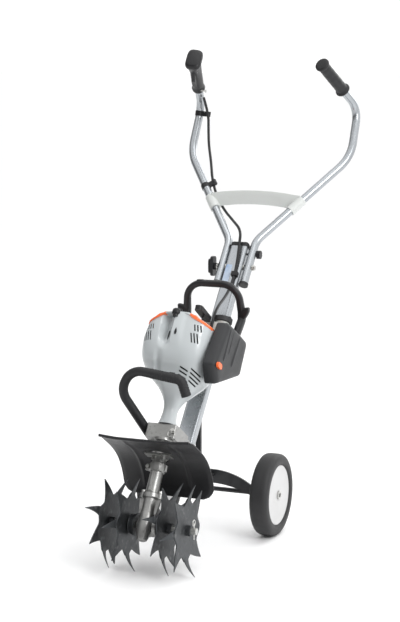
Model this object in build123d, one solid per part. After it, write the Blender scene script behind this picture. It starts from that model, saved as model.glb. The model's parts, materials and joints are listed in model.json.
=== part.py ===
from build123d import *
from math import cos, pi, radians, sin, tan
import os

# Two-stroke garden tiller with a folding handlebar and a two-wheel transport kit.
# Design frame, millimetres: +X to the right seen from the front, +Y towards the operator, +Z up,
# zero on the ground under the tine axis. The whole object is moved to the centre of its
# bounding box, on the ground, when it is written.

# ---- driving dimensions -------------------------------------------------------------------
TINE_AXIS_Z = 115.0          # height of the tine axis over the ground
TINE_TIP_R = 115.0           # tip radius of the tine stars
TINE_PLATE = 3.0             # star plate thickness
STAR_OUTER_X = 99.0          # outer star planes
STAR_INNER_X = 50.0          # inner star planes
TINE_SHAFT_R = 8.0
TINE_SHAFT_HALF = 124.0
HUB_R = 13.0

DRIVE_LEAN = 32.0            # lean of the drive shaft towards the operator, degrees
DRIVE_F = 21.0               # drive axis in front of the tine axis
WORM_PITCH_R = 6.0
WORM_TEETH = 24
WHEEL_PITCH_R = DRIVE_F - WORM_PITCH_R

PROFILE_LEAN = 40.0          # lean of the main profile
PROFILE_W = 46.0
PROFILE_D = 28.0
PROFILE_WALL = 2.5
PROFILE_LENGTH = 591.0
PROFILE_FOOT = (0.0, 220.0, 262.0)

BAR_R = 11.0                 # handlebar tube
BAR_WALL = 1.6
BAR_POINTS = [(36.6, 530.0, 631.7), (37.5, 617.0, 733.0), (232.0, 818.0, 946.0),
              (229.0, 886.0, 1074.0), (181.0, 722.0, 1193.0)]
BAR_RADII = [60.0, 130.0, 46.0]
PIVOT_Y = 562.0
PIVOT_Z = 669.0
PIVOT_R = 4.0

WHEEL_R = 105.7
WHEEL_HALF = 25.0
WHEEL_X = 155.5
WHEEL_Y = 423.2
DISC_R = 77.0
AXLE_R = 6.0

CRANK_THROW = 14.0
CLEAR = 0.05                 # running clearance of a shaft in its hole
GAP = 0.4                    # gap between faces on different bodies

SHIELD_HALF = 122.0
SHIELD_T = 3.0
CABLE_R = 3.75

# ---- frames -------------------------------------------------------------------------------
# Engine frame: x as in the design frame, z along the drive direction from the tine axis,
# y towards the rear, so a place "f in front" is at y = -f.
LEAN_SIN = sin(radians(DRIVE_LEAN))
LEAN_COS = cos(radians(DRIVE_LEAN))
ENGINE = Plane(origin=(0, 0, TINE_AXIS_Z), x_dir=(1, 0, 0), z_dir=(0, LEAN_SIN, LEAN_COS)).location
PROFILE = Plane(origin=PROFILE_FOOT, x_dir=(1, 0, 0),
                z_dir=(0, sin(radians(PROFILE_LEAN)), cos(radians(PROFILE_LEAN)))).location
TINES = Pos(0, 0, TINE_AXIS_Z)

nodes = {}


def add(name, *shapes):
    """Keep one node: all its solids, in the design frame."""
    solids = []
    for shape in shapes:
        solids += shape.solids()
    nodes[name] = solids[0] if len(solids) == 1 else Compound(solids)


def rod_x(radius, x0, x1, y=0.0, z=0.0):
    """Cylinder along X from x0 to x1."""
    return Pos((x0 + x1) / 2, y, z) * Rot(0, 90, 0) * Cylinder(radius, abs(x1 - x0))


def rod_y(radius, y0, y1, x=0.0, z=0.0):
    """Cylinder along Y from y0 to y1."""
    return Pos(x, (y0 + y1) / 2, z) * Rot(90, 0, 0) * Cylinder(radius, abs(y1 - y0))


def rod_z(radius, z0, z1, x=0.0, y=0.0):
    """Cylinder along Z from z0 to z1."""
    return Pos(x, y, (z0 + z1) / 2) * Cylinder(radius, abs(z1 - z0))


def block(x0, x1, y0, y1, z0, z1):
    """Box between two corners."""
    return Pos((x0 + x1) / 2, (y0 + y1) / 2, (z0 + z1) / 2) * Box(x1 - x0, y1 - y0, z1 - z0)


def bar(points, radii, radius, inner=0.0):
    """Round bar or tube along straight runs joined by tangent arcs."""
    path = FilletPolyline(*points, radius=radii) if radii else Polyline(*points)
    start = Plane(origin=path @ 0, z_dir=path % 0)
    solid = sweep(start * Circle(radius), path=path)
    if inner:
        solid -= sweep(start * Circle(inner), path=path)
    return solid


def rounded_block(x0, x1, y0, y1, z0, z1, radius):
    """Box between two corners, with its upright edges rounded."""
    middle = Pos((x0 + x1) / 2, (y0 + y1) / 2, z0)
    return middle * extrude(RectangleRounded(x1 - x0, y1 - y0, radius), z1 - z0)


def outline(points, plane, depth):
    """Polygon on a plane, extruded along the plane's normal."""
    return extrude(plane * make_face(Polyline(*points, close=True)), depth)


def mirrored(shape):
    """The same shape on the other side of the object."""
    return mirror(shape, about=Plane.YZ)


# ---- tines --------------------------------------------------------------------------------
TEETH = 6
TOOTH_BASE_R = 40.0
TOOTH_BEND = 20.0
TOOTH_PLANE = Plane(origin=(0, 0, TOOTH_BASE_R), x_dir=(0, 1, 0), z_dir=(1, 0, 0)).location


def tine_star(x, turn, side):
    """One star of six hooked points, bent to the two sides in turn, with its hub tube."""
    reach = (TINE_TIP_R - TOOTH_BASE_R) / cos(radians(TOOTH_BEND)) + 1
    star = Rot(0, 90, 0) * extrude(RegularPolygon(52, TEETH), TINE_PLATE / 2, both=True)
    for tooth in range(TEETH):
        bend = TOOTH_BEND if tooth % 2 == 0 else -TOOTH_BEND
        blade = Polyline((-21, -2), (-17, 26), (-5, 54), (12, reach), (13, 40), (21, -2), close=True)
        blade = extrude(make_face(blade), TINE_PLATE / 2, both=True)
        star += Rot(turn + tooth * 360 / TEETH, 0, 0) * TOOTH_PLANE * Rot(bend, 0, 0) * blade
    star += rod_x(HUB_R, side * -12, side * 12)
    star -= rod_x(TINE_SHAFT_R, -40, 40)
    return Pos(x, 0, 0) * (star & rod_x(TINE_TIP_R, -60, 60))


for side_name, side, turns in (("tines_left", -1, (0.0, 30.0)), ("tines_right", 1, (45.0, 15.0))):
    stars = [tine_star(side * x, turn, side) for x, turn in zip((STAR_OUTER_X, STAR_INNER_X), turns)]
    add(side_name, *[TINES * star for star in stars])

PIN_X = 117.0
GROOVE_X0 = 114.6
GROOVE_X1 = 119.0


def cotter_pin(x):
    """Sprung cotter: a straight wire through the shaft end with a ring snapped over it."""
    wire = rod_z(1.6, -20, 20, x=x)
    ring = Pos(x, 0, 20) * Rot(0, 90, 0) * Torus(7, 1.4)
    return wire + ring


shaft = rod_x(TINE_SHAFT_R, -TINE_SHAFT_HALF, TINE_SHAFT_HALF)
for side in (-1, 1):
    shaft -= rod_z(1.7, -30, 30, x=side * PIN_X)
    shaft -= rod_x(20, side * GROOVE_X0, side * GROOVE_X1) - rod_x(TINE_SHAFT_R - 0.8, side * 100, side * 130)
add("tine_shaft", TINES * shaft)
add("tine_cotter_pins", TINES * cotter_pin(-PIN_X), TINES * cotter_pin(PIN_X))

# ---- worm gear and drive shaft ------------------------------------------------------------
WORM_LEAD = 2 * pi * WHEEL_PITCH_R / WORM_TEETH
WORM_TURNS = 6
WORM_ROOT_R = 4.4
WORM_TIP_R = 7.2
AXIS_Y = -DRIVE_F


def worm_wheel():
    """Wheel on the tine shaft; a tooth gap faces the worm."""
    points = []
    for tooth in range(WORM_TEETH):
        for part_angle, radius in ((-0.30, 13.4), (-0.17, 16.1), (0.17, 16.1), (0.30, 13.4)):
            angle = radians(360 * (tooth + 0.5 + part_angle) / WORM_TEETH + 270)
            points.append((radius * cos(angle), radius * sin(angle)))
    wheel = outline(points, Plane(origin=(-3, 0, 0), x_dir=(0, 0, 1), z_dir=(1, 0, 0)), 6)
    wheel += rod_x(12, -9, 9)
    return wheel - rod_x(TINE_SHAFT_R, -20, 20)


def worm():
    """Single-start worm: its thread crosses the wheel side at z = 0."""
    start_z = -WORM_LEAD * (WORM_TURNS / 2 + 0.25)
    path = Pos(0, 0, start_z) * Helix(WORM_LEAD, WORM_LEAD * WORM_TURNS, WORM_ROOT_R)
    plane = Plane(origin=path @ 0, x_dir=(1, 0, 0), z_dir=path % 0)
    tooth = make_face(Polyline((-0.5, -1.2), (WORM_TIP_R - WORM_ROOT_R, -0.5),
                               (WORM_TIP_R - WORM_ROOT_R, 0.5), (-0.5, 1.2), close=True))
    thread = sweep(plane * tooth, path=path, is_frenet=True)
    return rod_z(WORM_ROOT_R, -20, 20) + thread


CLUTCH_Z = 336.0
DRUM_R = 30.0
DRUM_HEIGHT = 20.0
BUSH_R = 9.0

add("worm_wheel", ENGINE * worm_wheel())

drive_shaft = worm() + rod_z(5, 20, CLUTCH_Z)
add("drive_shaft", ENGINE * Pos(0, AXIS_Y, 0) * drive_shaft)
drum = rod_z(DRUM_R, CLUTCH_Z, CLUTCH_Z + DRUM_HEIGHT) - rod_z(DRUM_R - 2.5, CLUTCH_Z + 3, 400)
add("clutch_drum", ENGINE * Pos(0, AXIS_Y, 0) * drum)

# ---- gear case ----------------------------------------------------------------------------
NECK_R = 16.0
CASE_BARREL_R = 25.0
CASE_HALF = 21.0
CASE_TOP = 212.0
CASE_FOOT = -44.0


def lug(x, y, z, radius, height):
    """Screw boss along the drive direction."""
    return rod_z(radius, z, z + height, x=x, y=y)


case = rod_x(CASE_BARREL_R, -CASE_HALF, CASE_HALF)
case += rod_z(NECK_R, CASE_FOOT, CASE_TOP, y=AXIS_Y)
case += rod_z(21, 62, 74, y=AXIS_Y) + rod_z(19.5, 128, 150, y=AXIS_Y) + rod_z(22, 204, CASE_TOP, y=AXIS_Y)
for ear_x in (-22, 22):
    case += lug(ear_x, AXIS_Y, 60, 7, 16)
    case += block(min(ear_x, 0), max(ear_x, 0), AXIS_Y - 5, AXIS_Y + 5, 63, 73)
case += block(-29, -12, AXIS_Y - 6, AXIS_Y + 6, 131, 147)
case -= rod_x(18.5, -11, 11)
case -= rod_z(BUSH_R, -20.5, CASE_TOP + 1, y=AXIS_Y)
case -= rod_x(11, -30, 30)
for ear_x in (-22, 22):
    case -= rod_z(3, 50, 90, x=ear_x, y=AXIS_Y)
case -= rod_y(2.6, AXIS_Y - 10, AXIS_Y + 10, x=-23.5, z=139)
cover = rod_x(22, CASE_HALF, CASE_HALF + 5) - rod_x(11, 0, 40)
cover_holes = [(15.5 * cos(radians(a)), 15.5 * sin(radians(a))) for a in (45, 135, 225, 315)]
for hole_y, hole_z in cover_holes:
    cover -= rod_x(2.1, 0, 40, y=hole_y, z=hole_z)
    case -= rod_x(2.1, 12, 40, y=hole_y, z=hole_z)
add("gear_case", ENGINE * case, ENGINE * cover)

frame_fasteners = []
for hole_y, hole_z in cover_holes:
    frame_fasteners.append(ENGINE * (rod_x(2.1, 13, CASE_HALF + 5, hole_y, hole_z)
                                 + rod_x(4, CASE_HALF + 5, CASE_HALF + 9, hole_y, hole_z)))
for ear_x in (-22, 22):
    frame_fasteners.append(ENGINE * (rod_z(3, 60, 76, x=ear_x, y=AXIS_Y) + rod_z(5.5, 76, 81, x=ear_x, y=AXIS_Y)))
frame_fasteners.append(ENGINE * (rod_y(2.6, AXIS_Y - 6, AXIS_Y + 6, x=-23.5, z=139)
                             + rod_y(4.6, AXIS_Y - 11, AXIS_Y - 6, x=-23.5, z=139)))

bushes = []
for bush_x in (-1, 1):
    ring = rod_x(11, bush_x * 12, bush_x * (CASE_HALF + 5 if bush_x > 0 else CASE_HALF))
    bushes.append(ENGINE * (ring - rod_x(TINE_SHAFT_R + CLEAR, -40, 40)))
for bush_z in (24, 190):
    ring = rod_z(BUSH_R, bush_z, bush_z + 18, y=AXIS_Y)
    bushes.append(ENGINE * (ring - rod_z(5 + CLEAR, bush_z - 5, bush_z + 30, y=AXIS_Y)))

# ---- main profile -------------------------------------------------------------------------
profile_face = RectangleRounded(PROFILE_W, PROFILE_D, 7)
profile_core = RectangleRounded(PROFILE_W - 2 * PROFILE_WALL, PROFILE_D - 2 * PROFILE_WALL, 4.5)
profile_solid = extrude(profile_face, PROFILE_LENGTH)
profile_tube = PROFILE * (profile_solid - Pos(0, 0, -1) * extrude(profile_core, PROFILE_LENGTH + 2))
profile_envelope = PROFILE * profile_solid
pivot_hole = rod_x(PIVOT_R + CLEAR, -60, 60, PIVOT_Y, PIVOT_Z)
profile_tube -= pivot_hole
add("main_profile", profile_tube)

cap = extrude(RectangleRounded(PROFILE_W + 3, PROFILE_D + 3, 8), 12)
cap = chamfer(cap.faces().sort_by(Axis.Z)[-1].edges(), 2.5)
cap = Pos(0, 0, PROFILE_LENGTH) * cap + Pos(0, 0, PROFILE_LENGTH - 18) * extrude(profile_core, 18)
add("profile_end_cap", PROFILE * cap)

# ---- bracket that joins gear case, engine and profile --------------------------------------
BRACKET_Z0 = CASE_TOP
BRACKET_Z1 = 247.0
HITCH_R = 4.0
HITCH_X = 24.5
HITCH_Z = 230.0
bracket = rounded_block(-46, 31, -36, 50, BRACKET_Z0, BRACKET_Z1, 4)
bracket += rounded_block(-19, 19, 40, 122, BRACKET_Z0 + 4, BRACKET_Z1 + 2, 4)
bracket -= rod_z(BUSH_R, 200, 300, y=AXIS_Y)
bracket -= rod_y(HITCH_R, -60, 70, x=HITCH_X, z=HITCH_Z)
spigot = PROFILE * Pos(0, 0, -12) * extrude(RectangleRounded(PROFILE_W - 2 * PROFILE_WALL,
                                                             PROFILE_D - 2 * PROFILE_WALL, 4.5), 72)
bracket = ENGINE * bracket - profile_tube + spigot
HANDLE_R = 11.5
HANDLE_POINTS = [(-30.0, 130.0, 274.0), (-111.0, 86.0, 419.0), (-79.0, 80.0, 475.0),
                 (51.0, 80.0, 458.0), (63.0, 84.0, 419.0)]
HANDLE_RADII = [50.0, 48.0, 17.0]
handle_path = FilletPolyline(*HANDLE_POINTS, radius=HANDLE_RADII)
handle_tube = bar(HANDLE_POINTS, HANDLE_RADII, HANDLE_R - 2.5)
handle_socket = Plane(origin=handle_path @ 0, z_dir=handle_path % 0)
bracket += handle_socket * Cylinder(14, 30, align=(Align.CENTER, Align.CENTER, Align.MIN))
bracket -= handle_socket * Cylinder(HANDLE_R - 2.5, 80, align=(Align.CENTER, Align.CENTER, Align.MIN))
add("mounting_bracket", bracket.solids().sort_by(SortBy.VOLUME)[-1])

hitch = rod_y(HITCH_R - 0.3, -44, 54, x=HITCH_X, z=HITCH_Z) + rod_y(6, -41, -36.4, x=HITCH_X, z=HITCH_Z)
ring_plane = ENGINE * Pos(HITCH_X, -43, HITCH_Z - 9) * Rot(90, 0, 0)
clip = ring_plane * Torus(9, 1.2)
add("hitch_pin", ENGINE * hitch, clip)

# ---- front handle -------------------------------------------------------------------------
add("front_handle", handle_tube)
sleeve_start = 0.2
sleeve = bar(HANDLE_POINTS, HANDLE_RADII, HANDLE_R, HANDLE_R - 2.5)
sleeve_cut = Plane(origin=handle_path @ sleeve_start, z_dir=handle_path % sleeve_start)
sleeve -= sleeve_cut * Pos(0, 0, -100) * Box(70, 70, 200)
add("front_handle_grip", sleeve.solids().sort_by(SortBy.VOLUME)[-1])

# ---- shield -------------------------------------------------------------------------------
def arc_shell(points_outer, points_inner, lip_outer, lip_inner, half):
    """Curved sheet with a lip, as wide as the shield."""
    outer = ThreePointArc(*points_outer)
    lip = Polyline(points_outer[2], lip_outer, lip_inner, points_inner[0])
    inner = ThreePointArc(*points_inner)
    close = Line(points_inner[2], points_outer[0])
    plane = Plane(origin=(-half, 0, 0), x_dir=(0, 1, 0), z_dir=(1, 0, 0))
    return extrude(plane * make_face(outer + lip + inner + close), 2 * half)


shield = arc_shell(((-30, 325), (80, 264), (120, 190)), ((117, 189.5), (78, 261.8), (-31.6, 322.4)),
                   (117.5, 160), (114.5, 160.4), SHIELD_HALF)
rib_sheet = arc_shell(((-30, 325), (80, 264), (120, 190)), ((113.5, 188.8), (75.5, 259), (-33.5, 319)),
                      (117.5, 160), (114, 160.4), 2.5)
for rib_x in (-62, 62):
    shield += Pos(rib_x, 0, 0) * rib_sheet
shield -= ENGINE * rod_z(22.5, 100, 230, y=AXIS_Y)
add("shield", shield.solids().sort_by(SortBy.VOLUME)[-1])

plate = ENGINE * (block(-34, 34, -46, 4, 166, 170) - rod_z(NECK_R, 150, 180, y=AXIS_Y))
plate -= shield
frame_fasteners.append(plate.solids().sort_by(SortBy.VOLUME)[-1])

# ---- wheel kit ----------------------------------------------------------------------------
AXLE_Z = WHEEL_R
STRUT_HALF = 7.0
strut = outline([(308, 360), (316, 366), (316, 166), (403, 152), (403, 145), (308, 160)],
                Plane(origin=(-STRUT_HALF, 0, 0), x_dir=(0, 1, 0), z_dir=(1, 0, 0)), 2 * STRUT_HALF)
strut -= profile_envelope
strut = strut.solids().sort_by(SortBy.VOLUME)[-1]

BAND_Y = 402.0
BAND_T = 5.0
BAND_END_X = 124.0
band_top = ThreePointArc((-BAND_END_X, 118), (0, 162), (BAND_END_X, 118))
band_low = ThreePointArc((BAND_END_X, 94), (0, 126), (-BAND_END_X, 94))
band_outline = (band_top + Line((BAND_END_X, 118), (BAND_END_X, 94)) + band_low
                + Line((-BAND_END_X, 94), (-BAND_END_X, 118)))
band_plane = Plane(origin=(0, BAND_Y + BAND_T, 0), x_dir=(1, 0, 0), z_dir=(0, -1, 0))
band = extrude(band_plane * make_face(band_outline), BAND_T)
lug_length = WHEEL_Y + 12 - BAND_Y
for side in (-1, 1):
    ear = block(BAND_END_X - 5, BAND_END_X, BAND_Y, BAND_Y + lug_length, 94, 118)
    band += ear if side > 0 else mirrored(ear)
band -= rod_x(AXLE_R, -200, 200, WHEEL_Y, AXLE_Z)
carrier = band + strut
for bolt_z in (325, 340):
    bolt = rod_y(2.5, 292, 318, z=bolt_z)
    carrier -= bolt
    nodes["main_profile"] = nodes["main_profile"] - bolt
    frame_fasteners.append(bolt + rod_y(4.5, 316, 319.5, z=bolt_z))
add("axle_carrier", carrier)
add("axle_rod", rod_x(AXLE_R, -WHEEL_X - 21, WHEEL_X + 21, WHEEL_Y, AXLE_Z))

AT_WHEEL = Pos(WHEEL_X, WHEEL_Y, AXLE_Z)


def wheel_profile_tyre():
    """Half section of the tyre, x across the tread, y from the axis."""
    w = WHEEL_HALF
    return [(-w + 6, DISC_R), (-w + 1, DISC_R + 4), (-w, DISC_R + 15), (-w + 5, WHEEL_R - 5),
            (-w + 13, WHEEL_R), (w - 13, WHEEL_R), (w - 5, WHEEL_R - 5), (w, DISC_R + 15),
            (w - 1, DISC_R + 4), (w - 6, DISC_R)]


def turned(points):
    """Ring with the given half section (x along the axle, y the radius)."""
    face = make_face(Polyline(*points, close=True))
    return revolve(face, Axis.X)


tyre = AT_WHEEL * turned(wheel_profile_tyre())
disc_w = WHEEL_HALF - 6
disc = turned([(disc_w - 3, DISC_R - 4), (-disc_w, DISC_R - 4), (-disc_w, DISC_R), (disc_w, DISC_R),
               (disc_w, AXLE_R + CLEAR), (-disc_w - 4, AXLE_R + CLEAR), (-disc_w - 4, 17), (disc_w - 3, 17)])
disc = AT_WHEEL * disc
add("tyre_right", tyre)
add("tyre_left", mirrored(tyre))
add("wheel_disc_right", disc)
add("wheel_disc_left", mirrored(disc))
cap_solid = AT_WHEEL * (rod_x(11, disc_w + GAP, disc_w + 4.5) - rod_x(AXLE_R, 0, 60))
washer = AT_WHEEL * (rod_x(12, -disc_w - 6.5, -disc_w - 4 - GAP) - rod_x(AXLE_R, -60, 60))
frame_fasteners += [cap_solid, mirrored(cap_solid), washer, mirrored(washer)]

# ---- handlebar ----------------------------------------------------------------------------
bar_path = FilletPolyline(*BAR_POINTS, radius=BAR_RADII)
right_tube = bar(BAR_POINTS, BAR_RADII, BAR_R, BAR_R - BAR_WALL)
through_hole = rod_x(PIVOT_R, -60, 60, PIVOT_Y, PIVOT_Z)
LOCK_Y = 596.0
LOCK_Z = 700.0
right_tube -= through_hole
left_tube = mirrored(right_tube)

foot = Plane(origin=bar_path @ 0, z_dir=(bar_path % 0) * -1).location
foot_cap = foot * (Cylinder(BAR_R + 1.5, 7, align=(Align.CENTER, Align.CENTER, Align.MIN))
                   + Pos(0, 0, -15) * Cylinder(BAR_R - BAR_WALL, 15, align=(Align.CENTER, Align.CENTER, Align.MIN)))
add("tube_end_caps", foot_cap, mirrored(foot_cap))

bolt = rod_x(PIVOT_R, -61, 51, PIVOT_Y, PIVOT_Z)
bolt += Pos(51, PIVOT_Y, PIVOT_Z) * Rot(0, 90, 0) * extrude(RegularPolygon(6.5, 6), 5)
spacers = []
for x0, x1 in ((23 + GAP, 26.2), (47.6, 51)):
    ring = rod_x(8, x0, x1, PIVOT_Y, PIVOT_Z)
    spacers.append(ring - rod_x(PIVOT_R, -80, 80, PIVOT_Y, PIVOT_Z))
tube_skin = bar(BAR_POINTS[:3], BAR_RADII[:1], BAR_R)
spacers = [ring - tube_skin for ring in spacers]
add("pivot_bolt", bolt, *spacers, *[mirrored(ring) for ring in spacers])

knob = Pos(-58, PIVOT_Y, PIVOT_Z) * Rot(0, -90, 0) * (
    extrude(RectangleRounded(52, 26, 9), 8) + Pos(0, 0, 8) * extrude(RectangleRounded(38, 18, 8), 7)
    + Pos(0, 0, -6.6) * Cylinder(9, 6.6, align=(Align.CENTER, Align.CENTER, Align.MIN)))
knob -= rod_x(PIVOT_R, -61, 0, PIVOT_Y, PIVOT_Z)
add("clamp_knob", knob)

lock = rod_x(3, 23.5, 52, LOCK_Y, LOCK_Z) + rod_x(11, 49, 59, LOCK_Y, LOCK_Z)
for notch in range(8):
    angle = radians(45 * notch)
    lock -= rod_x(1.6, 48, 60, LOCK_Y + 11.4 * cos(angle), LOCK_Z + 11.4 * sin(angle))
lock_hole = rod_x(3 + CLEAR, 20, 52, LOCK_Y, LOCK_Z)
right_tube -= lock_hole
add("lock_knob", lock)

# Crossbar: an upright plate between the tubes with a saddle round each.
CROSS_Y = 706.0
CROSS_T = 7.0
cross_top = ThreePointArc((-126, 849), (0, 859), (126, 849))
cross_low = ThreePointArc((113, 812), (0, 822), (-113, 812))
cross_outline = cross_top + Line((126, 849), (113, 812)) + cross_low + Line((-113, 812), (-126, 849))
cross_plane = Plane(origin=(0, CROSS_Y + CROSS_T / 2, 0), x_dir=(1, 0, 0), z_dir=(0, -1, 0))
crossbar = extrude(cross_plane * make_face(cross_outline), CROSS_T)
panel = extrude(cross_plane * Pos(0, 838) * Ellipse(78, 9), CROSS_T + 1) - extrude(
    cross_plane * Pos(0, 838) * Ellipse(78, 9), CROSS_T - 1.2)
crossbar -= panel
run = Vector(*BAR_POINTS[2]) - Vector(*BAR_POINTS[1])
saddle_place = Plane(origin=Vector(*BAR_POINTS[1]) + run * 0.42, z_dir=run).location
saddle = saddle_place * Cylinder(BAR_R + 3, 46)
tube_room = saddle_place * Cylinder(BAR_R, 120)
crossbar = crossbar + saddle + mirrored(saddle) - tube_room - mirrored(tube_room)
screw = saddle_place * Pos(0, 0, 12) * Rot(0, 90, 0) * Cylinder(2.5, 2 * BAR_R + 5.5)
screw += saddle_place * Pos(0, 0, -12) * Rot(0, 90, 0) * Cylinder(2.5, 2 * BAR_R + 5.5)
crossbar -= screw + mirrored(screw)
add("handlebar_tubes", right_tube - screw, left_tube - mirrored(screw))
add("crossbar", crossbar.solids().sort_by(SortBy.VOLUME)[-1])


# Right grip: a sleeve with a flange at each end, closed over the tube.
GRIP_LENGTH = 120.0
GRIP_R = 15.5
RIGHT_END = Plane(origin=bar_path @ 1, x_dir=(1, 0, 0), z_dir=bar_path % 1).location
grip = Pos(0, 0, -GRIP_LENGTH) * (Cylinder(GRIP_R, GRIP_LENGTH + 4, align=(Align.CENTER, Align.CENTER, Align.MIN))
                                  + Cylinder(20, 5, align=(Align.CENTER, Align.CENTER, Align.MIN)))
grip += Pos(0, 0, -4) * Cylinder(19, 9, align=(Align.CENTER, Align.CENTER, Align.MIN))
grip -= Pos(0, 0, -200) * Cylinder(BAR_R, 200, align=(Align.CENTER, Align.CENTER, Align.MIN))
add("grip_right", RIGHT_END * grip)

# Left control handle, in the frame of the left tube's end: z along the tube, y up and back.
left_tip = Vector(-(bar_path @ 1).X, (bar_path @ 1).Y, (bar_path @ 1).Z)
left_dir = Vector(-(bar_path % 1).X, (bar_path % 1).Y, (bar_path % 1).Z)
CONTROL = Plane(origin=left_tip, x_dir=(1, 0, 0), z_dir=left_dir).location
HANDLE_BOTTOM = -118.0


def oval(width, height, z, y=0.0):
    """Oval section of the control handle."""
    return Pos(0, y, z) * Ellipse(width / 2, height / 2)


body = loft([oval(31, 31, HANDLE_BOTTOM), oval(31, 36, -60), oval(34, 40, -14), oval(42, 54, 6), oval(44, 62, 22)])
body += Pos(0, 0, 22) * loft([oval(44, 62, 0), oval(34, 50, 9)])
body -= Pos(0, 0, HANDLE_BOTTOM - 1) * Cylinder(BAR_R, -HANDLE_BOTTOM + 1, align=(Align.CENTER, Align.CENTER, Align.MIN))
trigger_room = block(-5.5, 5.5, -40, -13.5, -74, 2)
lockout_room = block(-5.5, 5.5, 13.4, 40, -77, -3)
switch_room = block(-30, -15, -7, 7, 2, 24)
body = body - trigger_room - lockout_room - switch_room
trigger = outline([(-15, -4), (-24, -6), (-34, -34), (-31, -62), (-26, -66), (-22, -60), (-17, -30), (-14.5, -8)],
                  Plane(origin=(-5, 0, 0), x_dir=(0, 1, 0), z_dir=(1, 0, 0)), 10)
lockout = outline([(15, -10), (22, -9), (25.5, -30), (24, -66), (19.5, -70), (18, -40), (15, -24)],
                  Plane(origin=(-5, 0, 0), x_dir=(0, 1, 0), z_dir=(1, 0, 0)), 10)
body -= rod_x(1.5, -12, 12, y=-19, z=-9)
body -= rod_x(1.5, -12, 12, y=18.5, z=-14)
trigger -= rod_x(1.5 + CLEAR, -12, 12, y=-19, z=-9)
lockout -= rod_x(1.5 + CLEAR, -12, 12, y=18.5, z=-14)
hinge_pins = rod_x(1.5, -11, 11, y=-19, z=-9) + rod_x(1.5, -11, 11, y=18.5, z=-14)
switch = block(-24, -15.4, -5, 5, 3, 14)
switch = chamfer(switch.edges().filter_by(Axis.Z), 1.5)
clamp_at = (14.0, -10.0, -104.0)
body += Pos(*clamp_at) * Rot(0, 90, 0) * Cylinder(6.5, 12)
body -= Pos(0, 0, HANDLE_BOTTOM - 1) * Cylinder(BAR_R, -HANDLE_BOTTOM + 1, align=(Align.CENTER, Align.CENTER, Align.MIN))
body -= Pos(clamp_at[0] + 3, clamp_at[1] - 4, clamp_at[2]) * Rot(0, 90, 0) * Cylinder(2.2, 12)
clamp_screw = Pos(clamp_at[0] + 3, clamp_at[1] - 4, clamp_at[2]) * Rot(0, 90, 0) * Cylinder(2.2, 12)
clamp_screw += Pos(clamp_at[0] + 10.5, clamp_at[1] - 4, clamp_at[2]) * Rot(0, 90, 0) * Cylinder(4.2, 3)
add("control_handle", CONTROL * body.solids().sort_by(SortBy.VOLUME)[-1])
add("throttle_trigger", CONTROL * trigger)
add("lockout_lever", CONTROL * lockout)
add("stop_switch", CONTROL * switch)
add("handlebar_fasteners", CONTROL * clamp_screw, CONTROL * hinge_pins, screw, mirrored(screw))

# Throttle cable: one conduit, in two lengths that meet at the top of the profile.
CABLE_JOINT = (4.5, 580.0, 726.5)
CABLE_UPPER = [(-202.0, 836.0, 1100.0), (-196.0, 857.0, 1056.0), (-190.0, 842.0, 1010.0),
               (-178.0, 816.0, 968.0), (-159.0, 786.0, 926.0), (-142.0, 752.0, 880.0),
               (-120.0, 732.0, 836.0), (-89.0, 711.0, 801.0), (-45.0, 660.0, 781.0),
               (-1.0, 606.0, 762.0), CABLE_JOINT]
CABLE_LOWER = [CABLE_JOINT, (10.0, 554.0, 691.0), (13.0, 526.0, 655.0), (14.0, 488.0, 622.0),
               (18.0, 440.0, 604.0), (22.0, 388.0, 592.0), (27.0, 342.0, 570.0), (30.0, 318.0, 539.0)]


def cable_radii(points):
    """Fillet radius at each inner point: 0.45 of the shorter run over the tangent of half the turn."""
    radii = []
    for i in range(1, len(points) - 1):
        before = Vector(*points[i]) - Vector(*points[i - 1])
        after = Vector(*points[i + 1]) - Vector(*points[i])
        turn = radians(before.get_angle(after))
        radii.append(0.45 * min(before.length, after.length) / tan(turn / 2))
    return radii


for cable_name, cable_points in (("cable_upper", CABLE_UPPER), ("cable_lower", CABLE_LOWER)):
    radii = cable_radii(cable_points)
    conduit = bar(cable_points, radii, CABLE_R)
    route = FilletPolyline(*cable_points, radius=radii)
    print(cable_name, "bend radii", [round(r) for r in radii], "length", round(route.length),
          "volume over section times length", round(conduit.volume / (3.14159 * CABLE_R ** 2 * route.length), 4))
    add(cable_name, conduit)


def cable_clip(at, direction, reach):
    """Band round the left tube with an eye for the cable."""
    place = Plane(origin=at, x_dir=reach, z_dir=direction).location
    offset = Vector(*reach).length
    ring = Cylinder(BAR_R + 1.4, 14) + Pos(offset, 0, 0) * Cylinder(CABLE_R + 2.5, 14)
    ring += Box(offset, 8, 14, align=(Align.MIN, Align.CENTER, Align.CENTER))
    return place, ring


def on_left(fraction):
    """Point and direction of the left tube."""
    at = bar_path @ fraction
    way = bar_path % fraction
    return Vector(-at.X, at.Y, at.Z), Vector(-way.X, way.Y, way.Z)


tube_left_room = mirrored(bar(BAR_POINTS, BAR_RADII, BAR_R))


def tube_clip(fraction, cable_at):
    """Clip from the left tube to the cable."""
    centre, way = on_left(fraction)
    place, ring = cable_clip(centre, way, Vector(*cable_at) - centre)
    ring = place * ring - tube_left_room
    return ring - nodes["cable_upper"]


add("cable_clips", tube_clip(0.735, CABLE_UPPER[1]), tube_clip(0.420, CABLE_UPPER[5]))
profile_clip = PROFILE * Pos(13, -PROFILE_D / 2 - 5, 498) * Box(17, 12, 12)
profile_clip = profile_clip - nodes["cable_lower"] - profile_envelope

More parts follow.
